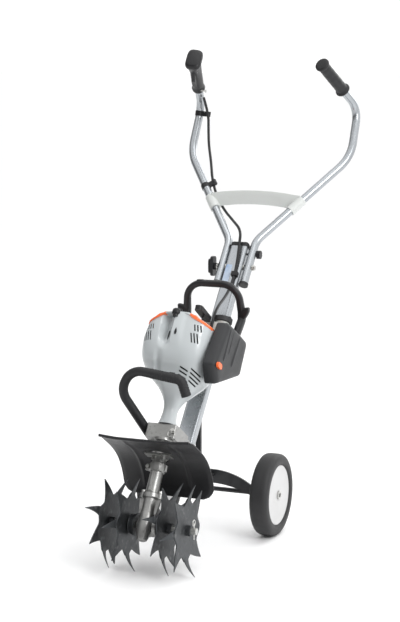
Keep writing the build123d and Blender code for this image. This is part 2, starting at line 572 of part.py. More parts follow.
# ---- carrying handle ----------------------------------------------------------------------
CARRY_R = 9.0
CARRY_POINTS = [(-75.0, 374.0, 518.0), (-76.0, 420.0, 560.0), (-68.0, 402.0, 646.0),
                (68.0, 402.0, 646.0), (76.0, 420.0, 560.0), (75.0, 374.0, 518.0)]
carry = bar(CARRY_POINTS, [22.0, 46.0, 46.0, 22.0], CARRY_R)
hook_plane = Plane(origin=(0, 422, 0), x_dir=(1, 0, 0), z_dir=(0, -1, 0))
hook = outline([(76, 578), (82, 572), (97, 598), (93, 603), (84, 592), (76, 600)], hook_plane, 14)
carry += hook + mirrored(hook)
carry_screw = ENGINE * (rod_x(2.5, 52, 82, y=104, z=541) + rod_x(5, 82, 86, y=104, z=541))
carry -= carry_screw + mirrored(carry_screw)
add("carry_handle", carry.solids().sort_by(SortBy.VOLUME)[-1])

# ---- engine -------------------------------------------------------------------------------
CRANK_Z = 425.0
WEB_R = 22.0
BORE_R = 15.0
PIN_Y = AXIS_Y - CRANK_THROW
WRIST_Y = PIN_Y - 34.0
CROWN_Y = WRIST_Y - 11.0


def on_axis(shape):
    """Move a turned engine piece to the drive axis."""
    return ENGINE * Pos(0, AXIS_Y, 0) * shape


housing = rod_z(19, BRACKET_Z1, 318) + rod_z(37, CLUTCH_Z - 10, 396)
housing += loft([Pos(0, 0, 305) * Circle(19), Pos(0, 0, CLUTCH_Z - 10) * Circle(37)])
housing -= rod_z(BUSH_R, 240, 340) + rod_z(DRUM_R + 2, CLUTCH_Z - 4, CLUTCH_Z + DRUM_HEIGHT + 6)
housing -= rod_z(15, 350, 400)
arm = rounded_block(-18, 18, 20, 160, 366, 390, 3)
arm = ENGINE * arm - profile_envelope - PROFILE * Pos(0, 30, 0) * extrude(profile_face, PROFILE_LENGTH)
housing = on_axis(housing) + arm.solids().sort_by(SortBy.VOLUME)[-1]
add("clutch_housing", housing)

crank = rod_z(6, 342, 409) + rod_z(WEB_R, 409, 416) + rod_z(WEB_R, 434, 441) + rod_z(6, 441, 482)
crank += rod_z(5, 416, 434, y=-CRANK_THROW)
add("crankshaft", on_axis(crank))
shoe = rod_z(25, 340, 353) - rod_z(9, 330, 360) - block(-30, 30, -3, 3, 330, 360)
hub = rod_z(9, 340, 353) - rod_z(6, 330, 360)
add("clutch_shoes", on_axis(shoe), on_axis(hub))

crankcase = rod_z(33, 396, 454) - rod_z(24, 406, 444) - rod_z(11, 380, 480)
crankcase -= rod_y(BORE_R + 1, -60, 0, z=CRANK_Z)
bearings = []
for bearing_z in (398, 445):
    ring = rod_z(11, bearing_z, bearing_z + 8) - rod_z(6, 380, 480)
    bearings.append(on_axis(ring))
add("crankcase", on_axis(crankcase))
add("shaft_bearings", *bushes, *bearings)

rod_solid = rod_z(8.5, 419.5, 430.5, y=PIN_Y) + rod_z(6, 419.5, 430.5, y=WRIST_Y)
rod_solid += block(-3, 3, WRIST_Y, PIN_Y, 421.5, 428.5)
rod_solid -= rod_z(5 + CLEAR, 400, 450, y=PIN_Y) + rod_z(3 + CLEAR, 400, 450, y=WRIST_Y)
add("connecting_rod", ENGINE * rod_solid)
piston = rod_y(BORE_R - CLEAR, CROWN_Y, CROWN_Y + 19, z=CRANK_Z) - rod_y(BORE_R - 3, CROWN_Y + 3, 0, z=CRANK_Z)
wrist = rod_z(3, CRANK_Z - 12, CRANK_Z + 12, y=WRIST_Y)
add("piston", ENGINE * (piston - rod_z(3, 380, 480, y=WRIST_Y)), ENGINE * wrist)

CYL_BASE_Y = AXIS_Y - 33.0
cylinder = rod_y(20, CROWN_Y - 6, CYL_BASE_Y + 4, z=CRANK_Z)
for fin in range(6):
    fin_y = CYL_BASE_Y - 6 - 5 * fin
    cylinder += Pos(0, fin_y, CRANK_Z) * Rot(90, 0, 0) * extrude(RectangleRounded(48, 48, 8), 1, both=True)
cylinder -= rod_y(BORE_R, CROWN_Y - 1, 0, z=CRANK_Z)
cylinder -= on_axis(rod_z(33, 380, 470)).moved(ENGINE.inverse())
PLUG_Y = CROWN_Y - 3
cylinder -= rod_z(5, CRANK_Z + 12, CRANK_Z + 60, y=PLUG_Y + 8)
add("cylinder", ENGINE * cylinder.solids().sort_by(SortBy.VOLUME)[-1])
plug = rod_z(5, CRANK_Z + 15, CRANK_Z + 26, y=PLUG_Y + 8) + rod_z(8, CRANK_Z + 26, CRANK_Z + 56, y=PLUG_Y + 8)
coil = block(-66, -46, -36, -6, 458, 474)
add("ignition_parts", ENGINE * plug, ENGINE * coil)

flywheel = rod_z(44, 460, 464) + rod_z(14, 460, 474)
for vane in range(12):
    flywheel += Rot(0, 0, 30 * vane) * block(24, 42, -1, 1, 464, 474)
flywheel -= rod_z(6, 450, 490)
add("flywheel", on_axis(flywheel))
PULLEY_R = 26.0
pulley = rod_z(PULLEY_R, 487, 497) - rod_z(4 + CLEAR, 480, 500)
pulley -= rod_z(PULLEY_R + 1, 490, 494) - rod_z(18, 489, 495)
add("starter_pulley", on_axis(pulley))

carburettor = block(40, 66, -44, -8, 404, 444) + rod_x(10, 66, 84.5, y=-26, z=424)
carburettor += rod_x(9, 33, 40, y=-26, z=424)
carburettor -= rod_x(6, 30, 90, y=-26, z=424)
add("carburettor", ENGINE * carburettor)
muffler = rounded_block(-76, -36, -54, 6, 402, 446, 8)
muffler -= rounded_block(-74, -38, -52, 4, 404, 444, 6)
add("muffler", ENGINE * muffler)

SHELL_T = 2.5
SHROUD_SECTIONS = ((332, -26, 26, -6, 44, 12), (372, -72, 60, -34, 74, 24), (420, -93, 79, -46, 98, 30),
                   (470, -90, 82, -48, 108, 30), (516, -84, 82, -48, 108, 30))
ROOF_LINE = [(-84, 490), (-44, 505), (-34, 513), (32, 513), (42, 505), (82, 490)]
ROOF_PLANE = Plane(origin=(0, 60, 0), x_dir=(1, 0, 0), z_dir=(0, -1, 0))
ROOF_T = 3.0


def shroud_body(inset):
    """Shroud volume from sections across the drive axis, each inset by the wall."""
    sections = []
    for z, x0, x1, f0, f1, radius in SHROUD_SECTIONS:
        face = RectangleRounded(x1 - x0 - 2 * inset, f1 - f0 - 2 * inset, radius - inset)
        sections.append(Pos((x0 + x1) / 2, -(f0 + f1) / 2, z) * face)
    return loft(sections, ruled=True)


shroud = shroud_body(0) - shroud_body(SHELL_T)
shroud += rounded_block(-16, 16, -112, -92, 440, 503, 6) - shroud_body(SHELL_T)
shroud -= rod_z(40, 320, 395, y=AXIS_Y)
shroud -= rounded_block(-20, 20, 10, 90, 364, 392, 4)
shroud -= rod_x(11, 60, 100, y=-26, z=424)
slots = []
for row_z in (455, 474):
    for column in range(4):
        slots.append(block(-78 + 9 * column, -74 + 9 * column, -130, -60, row_z, row_z + 14))
        slots.append(block(42 + 8 * column, 46 + 8 * column, -130, -60, row_z, row_z + 14))
for louvre in range(4):
    slots.append(block(30, 60, -120, -40, 386 + 9 * louvre, 390 + 9 * louvre))
for slot in slots:
    shroud -= slot
under_roof = outline([(-110, 300), (-110, 480)] + ROOF_LINE + [(110, 480), (110, 300)], ROOF_PLANE, 200)
shroud &= Pos(0, 0, -ROOF_T) * under_roof
add("engine_shroud", ENGINE * shroud.solids().sort_by(SortBy.VOLUME)[-1])

roof = outline([(-84, 484)] + ROOF_LINE + [(82, 484)], ROOF_PLANE, 180)
cover_top = (roof - Pos(0, 0, -ROOF_T) * roof) & (Pos(-1, -30, 470) * extrude(RectangleRounded(166, 156, 30), 60))
cover_top += rod_z(9, 508, 522, x=14, y=15)
cover_top -= rod_z(4, 490, 530, x=14, y=15)
spindle = rod_z(4, 485.5, 511, y=AXIS_Y)
add("top_cover", ENGINE * (cover_top + spindle).solids().sort_by(SortBy.VOLUME)[-1])
top_knob = ENGINE * (rod_z(7, 514.2, 526, x=-5, y=-88) + rod_z(4, 505, 514.2, x=-5, y=-88))
inlet = rod_z(7, 511, 528, x=30, y=44) - rod_z(CABLE_R + 0.4, 500, 540, x=30, y=44)

ROPE_R = 2.0
grip_bar = Pos(14, 12, 554) * extrude(RectangleRounded(20, 80, 9), 12)
grip_bar -= rod_z(5, 560, 570, x=14, y=15)
grip_bar = grip_bar - rod_z(ROPE_R, 540, 562, x=14, y=15)
add("starter_grip", ENGINE * grip_bar, ENGINE * rod_z(ROPE_R, 492, 560, x=14, y=15))

FILTER_X0 = 85.0
FILTER_X1 = 119.0
FILTER_OUTLINE = [(-54, 514), (31, 520), (88, 520), (86, 428), (-53, 351), (-92, 388)]
filter_plane = Plane(origin=(FILTER_X0, 0, 0), x_dir=(0, 1, 0), z_dir=(1, 0, 0))
filter_face = make_face(Polyline(*FILTER_OUTLINE, close=True))
filter_face = fillet(filter_face.vertices(), 10)
lid = extrude(filter_plane * filter_face, FILTER_X1 - FILTER_X0)
lid = chamfer(lid.faces().sort_by(Axis.X)[-1].edges(), 9)
lid -= extrude(filter_plane * offset(filter_face, -3), FILTER_X1 - FILTER_X0 - 10)
CHOKE_Y = -74.0
CHOKE_Z = 392.0
lid -= rod_x(4 + CLEAR, 80, 130, y=CHOKE_Y, z=CHOKE_Z)
add("filter_cover", ENGINE * lid)
add("air_filter", ENGINE * rounded_block(FILTER_X0 + 1, 104, -26, 46, 410, 500, 8))
choke = rod_x(4, 90, FILTER_X1 + 0.5, y=CHOKE_Y, z=CHOKE_Z)
choke += Pos(FILTER_X1 + 0.5, CHOKE_Y, CHOKE_Z) * Rot(0, 90, 0) * extrude(RectangleRounded(13, 26, 6), 6)
add("choke_knob", ENGINE * choke)

tank = rounded_block(-64, 64, 56, 112, 425, 558, 14) - rounded_block(-61.5, 61.5, 58.5, 109.5, 427.5, 555.5, 12)
CAP_X = 42.0
CAP_Y = 80.0
tank += rod_z(17, 555, 566, x=CAP_X, y=CAP_Y) - rod_z(14, 540, 580, x=CAP_X, y=CAP_Y)
tank -= rod_z(14, 540, 580, x=CAP_X, y=CAP_Y)
tank = ENGINE * tank - carry - carry_screw - mirrored(carry_screw)
add("fuel_tank", tank.solids().sort_by(SortBy.VOLUME)[-1])
fuel_cap = rod_z(24, 566 + GAP, 578, x=CAP_X, y=CAP_Y) + rod_z(13.9, 556, 566 + GAP, x=CAP_X, y=CAP_Y)
fuel_cap += Pos(CAP_X, CAP_Y, 578) * extrude(RectangleRounded(40, 7, 3), 5)
add("fuel_cap", ENGINE * fuel_cap)
frame_fasteners += [carry_screw, mirrored(carry_screw)]
add("frame_fasteners", *frame_fasteners)
inlet = ENGINE * inlet - nodes["cable_lower"]
nodes["top_cover"] = nodes["top_cover"] - inlet - top_knob
add("engine_trim", inlet, top_knob, profile_clip)

# ---- writing ------------------------------------------------------------------------------
whole = Compound([shape for shape in nodes.values()]).bounding_box()
TO_ORIGIN = Pos(-(whole.min.X + whole.max.X) / 2, -(whole.min.Y + whole.max.Y) / 2, -whole.min.Z)
os.makedirs("parts", exist_ok=True)
for node_name, shape in nodes.items():
    export_step(TO_ORIGIN * shape, f"parts/{node_name}.step")
print(len(nodes), "nodes; origin shift", TO_ORIGIN.position)
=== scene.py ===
import bpy
import bmesh
import json
import math
from mathutils import Matrix, Vector


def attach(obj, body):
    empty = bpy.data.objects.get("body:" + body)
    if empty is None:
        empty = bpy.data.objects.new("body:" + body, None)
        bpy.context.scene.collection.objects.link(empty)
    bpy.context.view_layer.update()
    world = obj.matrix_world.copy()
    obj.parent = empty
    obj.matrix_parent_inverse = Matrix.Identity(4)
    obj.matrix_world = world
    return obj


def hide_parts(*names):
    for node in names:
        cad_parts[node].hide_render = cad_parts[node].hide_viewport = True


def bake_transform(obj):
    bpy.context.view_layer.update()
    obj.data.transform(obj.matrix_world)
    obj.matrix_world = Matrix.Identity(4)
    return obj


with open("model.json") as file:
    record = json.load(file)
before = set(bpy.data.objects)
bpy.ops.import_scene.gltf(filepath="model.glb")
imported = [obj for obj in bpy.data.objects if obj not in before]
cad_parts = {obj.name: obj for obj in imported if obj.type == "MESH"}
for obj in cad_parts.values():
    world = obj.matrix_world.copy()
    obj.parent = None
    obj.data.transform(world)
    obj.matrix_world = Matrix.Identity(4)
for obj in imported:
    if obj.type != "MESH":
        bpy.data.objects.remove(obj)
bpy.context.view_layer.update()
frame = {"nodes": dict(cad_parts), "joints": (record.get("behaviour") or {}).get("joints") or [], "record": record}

record = frame["record"]
nodes = frame["nodes"]
MM = 0.001

# ---- places -------------------------------------------------------------------------------
# The design frame of the CAD source: millimetres, zero on the ground under the tine axis.
SHIFT_Y = next(j for j in frame["joints"] if j["name"] == "tine_spin")["pos_m"][1]


def at(x, y, z):
    """Design-frame millimetres to metres in the shared frame."""
    return Vector((x * MM, y * MM + SHIFT_Y, z * MM))


def leaning(origin, degrees):
    """Frame in millimetres whose z leans towards the operator and whose y points rearwards."""
    c, s = math.cos(math.radians(degrees)), math.sin(math.radians(degrees))
    o = at(*origin)
    return Matrix(((MM, 0, 0, o.x), (0, c * MM, s * MM, o.y), (0, -s * MM, c * MM, o.z), (0, 0, 0, 1)))


def along(origin, z_dir, x_dir=(1, 0, 0)):
    """Frame in millimetres with its z along a direction."""
    z = Vector(z_dir).normalized()
    x = (Vector(x_dir) - z * Vector(x_dir).dot(z)).normalized()
    y = z.cross(x)
    o = at(*origin)
    return Matrix(((x.x * MM, y.x * MM, z.x * MM, o.x), (x.y * MM, y.y * MM, z.y * MM, o.y),
                   (x.z * MM, y.z * MM, z.z * MM, o.z), (0, 0, 0, 1)))


DESIGN = Matrix(((MM, 0, 0, 0), (0, MM, 0, SHIFT_Y), (0, 0, MM, 0), (0, 0, 0, 1)))
ENGINE = leaning((0, 0, 115), 32)
PROFILE = leaning((0, 220, 262), 40)

# ---- camera and light ---------------------------------------------------------------------
camera = bpy.data.objects.new("camera", bpy.data.cameras.new("camera"))
bpy.context.scene.collection.objects.link(camera)
camera.location = at(1655.2, -3683.5, 1255.5)
camera.rotation_euler = (math.radians(90 - 8.7718), 0, math.radians(22.4586))
camera.data.sensor_width = 36
camera.data.lens = 101.34
bpy.context.scene.camera = camera


def area_light(name, place, target, size, power):
    """Rectangular lamp in metres and watts, facing a point."""
    lamp = bpy.data.lights.new(name, "AREA")
    lamp.shape = "RECTANGLE"
    lamp.size, lamp.size_y = size
    lamp.energy = power
    obj = bpy.data.objects.new(name, lamp)
    obj.location = place
    obj.rotation_euler = (Vector(target) - Vector(place)).to_track_quat("-Z", "Y").to_euler()
    bpy.context.scene.collection.objects.link(obj)


area_light("key", (2.6, -1.7, 2.3), (0, 0, 0.5), (1.4, 1.4), 50)
area_light("top", (0.5, 0.3, 3.2), (0, 0, 0.4), (1.8, 1.8), 15)
area_light("back", (0.9, 2.6, 1.9), (0, 0, 0.7), (1.6, 1.2), 16)
bpy.context.scene.view_settings.view_transform = "Standard"

# White surroundings, dimmer low down on the side that the camera looks from.
SKY_WAY, SKY_SIDE, SKY_RISE, SKY_GLOW = (0.62, 0.78, 0), (-0.45, 0.35), (0.35, 0.75), (0.18, 1.2)
world = bpy.data.worlds.new("studio")
bpy.context.scene.world = world
world.use_nodes = True
sky = world.node_tree
sky.nodes["Background"].inputs["Color"].default_value = (1, 1, 1, 1)
direction = sky.nodes.new("ShaderNodeTexCoord").outputs["Generated"]


def sky_range(value, source=None, target=None):
    """Map a value from one range to another."""
    node = sky.nodes.new("ShaderNodeMapRange")
    if source:
        node.inputs["From Min"].default_value, node.inputs["From Max"].default_value = source
    if target:
        node.inputs["To Min"].default_value, node.inputs["To Max"].default_value = target
    sky.links.new(value, node.inputs["Value"])
    return node.outputs["Result"]


facing = sky.nodes.new("ShaderNodeVectorMath")
facing.operation = "DOT_PRODUCT"
facing.inputs[1].default_value = SKY_WAY
sky.links.new(direction, facing.inputs[0])
height = sky.nodes.new("ShaderNodeSeparateXYZ")
sky.links.new(direction, height.inputs["Vector"])
most = sky.nodes.new("ShaderNodeMath")
most.operation = "MAXIMUM"
sky.links.new(sky_range(facing.outputs["Value"], source=SKY_SIDE), most.inputs[0])
sky.links.new(sky_range(height.outputs["Z"], source=SKY_RISE), most.inputs[1])
sky.links.new(sky_range(most.outputs["Value"], target=SKY_GLOW), sky.nodes["Background"].inputs["Strength"])


# ---- materials ----------------------------------------------------------------------------
# Dark plastics and paints reflect less of the white surroundings.
DARK_BELOW, DARK_SHINE = 0.06, 0.32


def surface(name, colour, other, rough, metallic=0.0, grain=900.0, bump=0.02, blotch=14.0,
            coat=0.0, specks=None):
    """Principled surface with mottled colour, uneven roughness and a fine bump."""
    mat = bpy.data.materials.new(name)
    mat.use_nodes = True
    tree = mat.node_tree
    new, link = tree.nodes.new, tree.links.new
    shader = tree.nodes["Principled BSDF"]
    place = new("ShaderNodeTexCoord").outputs["Object"]

    def noise(scale, detail):
        node = new("ShaderNodeTexNoise")
        node.inputs["Scale"].default_value = scale
        node.inputs["Detail"].default_value = detail
        link(place, node.inputs["Vector"])
        return node.outputs["Fac"]

    wide = noise(blotch, 3)
    fine = noise(grain, 2)
    mix = new("ShaderNodeMix")
    mix.data_type = "RGBA"
    mix.inputs["A"].default_value = (*colour, 1)
    mix.inputs["B"].default_value = (*other, 1)
    link(wide, mix.inputs["Factor"])
    result = mix.outputs["Result"]
    if specks:
        cells = noise(specks[0], 1)
        ramp = new("ShaderNodeValToRGB")
        ramp.color_ramp.elements[0].position = 0.60
        ramp.color_ramp.elements[1].position = 0.72
        link(cells, ramp.inputs["Fac"])
        spot = new("ShaderNodeMix")
        spot.data_type = "RGBA"
        spot.inputs["B"].default_value = (*specks[1], 1)
        link(ramp.outputs["Color"], spot.inputs["Factor"])
        link(result, spot.inputs["A"])
        result = spot.outputs["Result"]
    link(result, shader.inputs["Base Color"])
    spread = new("ShaderNodeMapRange")
    spread.inputs["To Min"].default_value = rough[0]
    spread.inputs["To Max"].default_value = rough[1]
    link(noise(blotch * 3, 4), spread.inputs["Value"])
    link(spread.outputs["Result"], shader.inputs["Roughness"])
    relief = new("ShaderNodeBump")
    relief.inputs["Strength"].default_value = bump
    relief.inputs["Distance"].default_value = 0.001
    link(fine, relief.inputs["Height"])
    link(relief.outputs["Normal"], shader.inputs["Normal"])
    shader.inputs["Metallic"].default_value = metallic
    shader.inputs["Coat Weight"].default_value = coat
    shader.inputs["Specular IOR Level"].default_value = DARK_SHINE if max(colour) < DARK_BELOW else 0.5
    return mat


MATERIALS = {
    "aluminium_tube": surface("aluminium_tube", (0.44, 0.46, 0.48), (0.36, 0.38, 0.40), (0.20, 0.32),
                              0.9, 500, 0.012, 9),
    "cast_aluminium": surface("cast_aluminium", (0.40, 0.40, 0.39), (0.20, 0.20, 0.195), (0.22, 0.42),
                              0.75, 420, 0.28, 26, specks=(120, (0.24, 0.24, 0.23))),
    "black_plastic": surface("black_plastic", (0.010, 0.010, 0.011), (0.018, 0.018, 0.020), (0.30, 0.44),
                             0, 1500, 0.10, 20),
    "grip_rubber": surface("grip_rubber", (0.014, 0.014, 0.015), (0.024, 0.024, 0.026), (0.44, 0.60),
                           0, 1800, 0.22, 30),
    "white_shell": surface("white_shell", (0.50, 0.53, 0.54), (0.47, 0.50, 0.51), (0.20, 0.30),
                           0, 900, 0.02, 7, 0.25),
    "orange_shell": surface("orange_shell", (0.86, 0.15, 0.025), (0.80, 0.12, 0.02), (0.28, 0.40),
                            0, 1100, 0.05, 12, 0.1),
    "charcoal_plastic": surface("charcoal_plastic", (0.020, 0.021, 0.023), (0.030, 0.031, 0.033),
                                (0.40, 0.54), 0, 1600, 0.16, 18),
    "tank_plastic": surface("tank_plastic", (0.58, 0.59, 0.57), (0.52, 0.53, 0.50), (0.34, 0.46),
                            0, 900, 0.05, 10),
    "black_steel": surface("black_steel", (0.020, 0.021, 0.023), (0.032, 0.033, 0.035), (0.26, 0.40),
                           0.2, 700, 0.10, 16, 0.2),
    "tine_steel": surface("tine_steel", (0.040, 0.043, 0.046), (0.085, 0.090, 0.095), (0.32, 0.52),
                          0.75, 260, 0.22, 34, specks=(60, (0.12, 0.125, 0.13))),
    "steel": surface("steel", (0.62, 0.62, 0.60), (0.50, 0.50, 0.48), (0.22, 0.38), 0.95, 600, 0.05, 30),
    "bronze": surface("bronze", (0.55, 0.38, 0.18), (0.42, 0.28, 0.13), (0.32, 0.46), 0.9, 500, 0.06, 30),
    "iron": surface("iron", (0.26, 0.26, 0.26), (0.18, 0.18, 0.18), (0.40, 0.55), 0.8, 400, 0.20, 30),
    "tyre_rubber": surface("tyre_rubber", (0.022, 0.022, 0.023), (0.032, 0.032, 0.033), (0.46, 0.62),
                           0, 1300, 0.18, 22),
    "white_disc": surface("white_disc", (0.56, 0.56, 0.56), (0.52, 0.52, 0.52), (0.36, 0.46),
                          0, 900, 0.05, 9),
    "filter_felt": surface("filter_felt", (0.80, 0.76, 0.62), (0.66, 0.62, 0.50), (0.80, 0.92),
                           0, 500, 0.5, 40),
    "light_grey_plastic": surface("light_grey_plastic", (0.62, 0.64, 0.62), (0.57, 0.59, 0.58),
                                  (0.38, 0.50), 0, 900, 0.08, 12),
}
# Near-black colour for the sheet inside the shroud: painted shade seen through the slots.
painted_shade_inside = surface("painted_shade_inside", (0.012, 0.012, 0.013), (0.02, 0.02, 0.021), (0.5, 0.7), 0, 800, 0.1, 30)

for subpart in record["subparts"]:
    shown = nodes[subpart["node"]]
    shown.data.materials.clear()
    shown.data.materials.append(MATERIALS[subpart["material_slot"]])


# ---- mesh tools ---------------------------------------------------------------------------
def mesh_object(name, verts, faces):
    """Mesh object with its faces turned outwards."""
    mesh = bpy.data.meshes.new(name)
    mesh.from_pydata([tuple(v) for v in verts], [], faces)
    mesh.validate()
    obj = bpy.data.objects.new(name, mesh)
    bpy.context.scene.collection.objects.link(obj)
    bm = bmesh.new()
    bm.from_mesh(mesh)
    bmesh.ops.recalc_face_normals(bm, faces=bm.faces)
    bm.to_mesh(mesh)
    bm.free()
    return obj


def sharpen(mesh, limit=38):
    """Smooth shading, with edges sharper than the limit kept crisp."""
    bm = bmesh.new()
    bm.from_mesh(mesh)
    for face in bm.faces:
        face.smooth = True
    for edge in bm.edges:
        edge.smooth = edge.calc_face_angle(0) < math.radians(limit)
    bm.to_mesh(mesh)
    bm.free()


def baked(obj):
    """Apply every modifier."""
    bpy.context.view_layer.update()
    shape = bpy.data.meshes.new_from_object(obj.evaluated_get(bpy.context.evaluated_depsgraph_get()))
    obj.modifiers.clear()
    obj.data = shape
    return obj


def finish_piece(obj, place, slot, body, stands_for=(), limit=38, material=None):
    """Place a piece drawn in millimetres, shade and colour it, and hang it on its body."""
    obj.data.transform(place)
    sharpen(obj.data, limit)
    obj.data.materials.clear()
    obj.data.materials.append(material or MATERIALS[slot])
    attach(obj, body)
    if stands_for:
        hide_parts(*stands_for)
    return obj


def joined(name, *parts):
    """One mesh object from several (verts, faces)."""
    verts, faces = [], []
    for part_verts, part_faces in parts:
        base = len(verts)
        verts += [tuple(v) for v in part_verts]
        faces += [tuple(base + i for i in f) for f in part_faces]
    return mesh_object(name, verts, faces)


def loft(rings, caps=(True, True), closed=False):
    """Skin over rings of equal point count; closed joins the last ring to the first."""
    count = len(rings[0])
    verts = [Vector(p) for ring in rings for p in ring]
    faces = []
    last = len(rings) if closed else len(rings) - 1
    for i in range(last):
        a, b = i * count, ((i + 1) % len(rings)) * count
        for k in range(count):
            n = (k + 1) % count
            faces.append((a + k, a + n, b + n, b + k))
    if not closed and caps[0]:
        faces.append(tuple(reversed(range(count))))
    if not closed and caps[1]:
        faces.append(tuple(range((len(rings) - 1) * count, len(rings) * count)))
    return verts, faces


def rounded(half_x, half_y, power, count=32, centre=(0, 0), z=0.0):
    """Superellipse ring; power 2 is an ellipse, higher is boxier."""
    ring = []
    for k in range(count):
        angle = 2 * math.pi * k / count
        c, s = math.cos(angle), math.sin(angle)
        x = math.copysign(abs(c) ** (2 / power), c) * half_x
        y = math.copysign(abs(s) ** (2 / power), s) * half_y
        ring.append((centre[0] + x, centre[1] + y, z))
    return ring


def filleted(points, radii, step=2.0):
    """Evenly spaced points along straight runs joined by arcs of the given radii."""
    pts = [Vector(p) for p in points]
    dense = [pts[0]]
    for i, radius in enumerate(radii):
        corner = pts[i + 1]
        a = (pts[i] - corner).normalized()
        b = (pts[i + 2] - corner).normalized()
        half = a.angle(b) / 2
        reach = radius / math.tan(half)
        centre = corner + (a + b).normalized() * (radius / math.sin(half))
        start, end = corner + a * reach, corner + b * reach
        u, v = start - centre, end - centre
        sweep_angle = u.angle(v)
        for k in range(25):
            t = k / 24
            w = (math.sin((1 - t) * sweep_angle) * u + math.sin(t * sweep_angle) * v) / math.sin(sweep_angle)
            dense.append(centre + w)
    dense.append(pts[-1])
    spaced, carried = [dense[0]], 0.0
    for p, q in zip(dense, dense[1:]):
        length = (q - p).length
        while carried + length >= step:
            p = p + (q - p).normalized() * (step - carried)
            spaced.append(p.copy())
            length = (q - p).length
            carried = 0.0
        carried += length
    spaced.append(dense[-1])
    return spaced


def swept(path, ring_of, caps=(True, True), up=(0, 0, 1)):
    """Loft a section along a path; ring_of(t) gives its (u, v) points t millimetres from the start."""
    side = None
    rings = []
    travelled = 0.0
    for i, p in enumerate(path):
        ahead = path[min(i + 1, len(path) - 1)] - path[max(i - 1, 0)]
        way = ahead.normalized()
        if side is None:
            side = way.cross(Vector(up)).normalized()
        side = (side - way * side.dot(way)).normalized()
        lift = side.cross(way)
        if i:
            travelled += (p - path[i - 1]).length
        rings.append([p + side * u + lift * v for u, v in ring_of(travelled)])
    return loft(rings, caps)


def circle(radius, count):
    """Round section as (u, v) points."""
    return [(radius * math.cos(2 * math.pi * k / count), radius * math.sin(2 * math.pi * k / count))
            for k in range(count)]


def lathe(profile, count=64, axis="x"):
    """Rings of a turned shape from (along, radius) points."""
    rings = []
    for a, r in profile:
        ring = []
        for k in range(count):
            c, s = math.cos(2 * math.pi * k / count), math.sin(2 * math.pi * k / count)
            ring.append((a, r * c, r * s) if axis == "x" else (r * c, r * s, a))
        rings.append(ring)
    return rings


def tube(profile, count=64):
    """Hollow turned shape about x, with a profile that closes on itself."""
    return loft(lathe(profile, count), caps=(False, False), closed=True)


def moved(rings, dx, dy, dz):
    """Rings shifted sideways."""
    return [[(x + dx, y + dy, z + dz) for x, y, z in ring] for ring in rings]


def brick(x0, x1, y0, y1, z0, z1, turn=0.0):
    """Box between corners, turned about the y axis through its middle."""
    cx, cz = (x0 + x1) / 2, (z0 + z1) / 2
    c, s = math.cos(math.radians(turn)), math.sin(math.radians(turn))
    verts = []
    for x in (x0, x1):
        for y in (y0, y1):
            for z in (z0, z1):
                dx, dz = x - cx, z - cz
                verts.append((cx + dx * c + dz * s, y, cz - dx * s + dz * c))
    faces = [(0, 1, 3, 2), (4, 6, 7, 5), (0, 4, 5, 1), (2, 3, 7, 6), (0, 2, 6, 4), (1, 5, 7, 3)]
    return verts, faces


def smooth_step(a, b, x):
    """0 at a, 1 at b, eased at both ends."""
    t = min(max((x - a) / (b - a), 0.0), 1.0)
    return t * t * (3 - 2 * t)


def through(keys, x):
    """Smooth curve of tuples through keys (x, values...)."""
    if x <= keys[0][0]:
        return keys[0][1:]
    if x >= keys[-1][0]:
        return keys[-1][1:]
    i = max(k for k in range(len(keys) - 1) if keys[k][0] <= x)
    k0, k1 = keys[i], keys[i + 1]
    before = keys[i - 1] if i else k0
    after = keys[i + 2] if i + 2 < len(keys) else k1
    h = k1[0] - k0[0]
    t = (x - k0[0]) / h
    out = []
    for j in range(1, len(k0)):
        m0 = (k1[j] - before[j]) / (k1[0] - before[0])
        m1 = (after[j] - k0[j]) / (after[0] - k0[0])
        out.append((2 * t ** 3 - 3 * t ** 2 + 1) * k0[j] + (t ** 3 - 2 * t ** 2 + t) * h * m0
                   + (-2 * t ** 3 + 3 * t ** 2) * k1[j] + (t ** 3 - t ** 2) * h * m1)
    return out


# ---- engine shroud ------------------------------------------------------------------------
# (s, x0, x1, f0, f1, boxiness): across the drive axis at s, f in front of it.
SHROUD = [(248, -23, 23, -2, 44, 2.2), (262, -19.5, 19.5, 2, 40.5, 2.2), (286, -17, 17, 3, 39, 2.3),
          (312, -23, 28, -4, 46, 2.4), (336, -38, 50, -16, 60, 2.6), (368, -70, 74, -34, 76, 2.9),
          (398, -89, 80, -43, 92, 3.2), (430, -93, 81, -46, 101, 3.5), (470, -90, 82, -48, 107, 3.8),
          (516, -84, 82, -48, 107, 4.0)]
ROOF = [(-90, 487.5), (-60, 498), (-44, 505), (-33, 512), (-22, 514), (20, 514), (31, 512), (42, 505),
        (58, 498), (88, 487.5)]
ROOF_DROP = 3
SHROUD_LOW, SHROUD_BEND, SHROUD_TOP = 248, 450, 516
RIDGE_X, RIDGE_RISE, VALLEY_DEPTH, FOLD_DEPTH = 1.0, 4.5, 22, 9
SHELL_WALL = 2.2


def roof_at(x):
    """Height of the roof plane above the tine axis, along the drive axis."""
    return through(ROOF, x)[0]


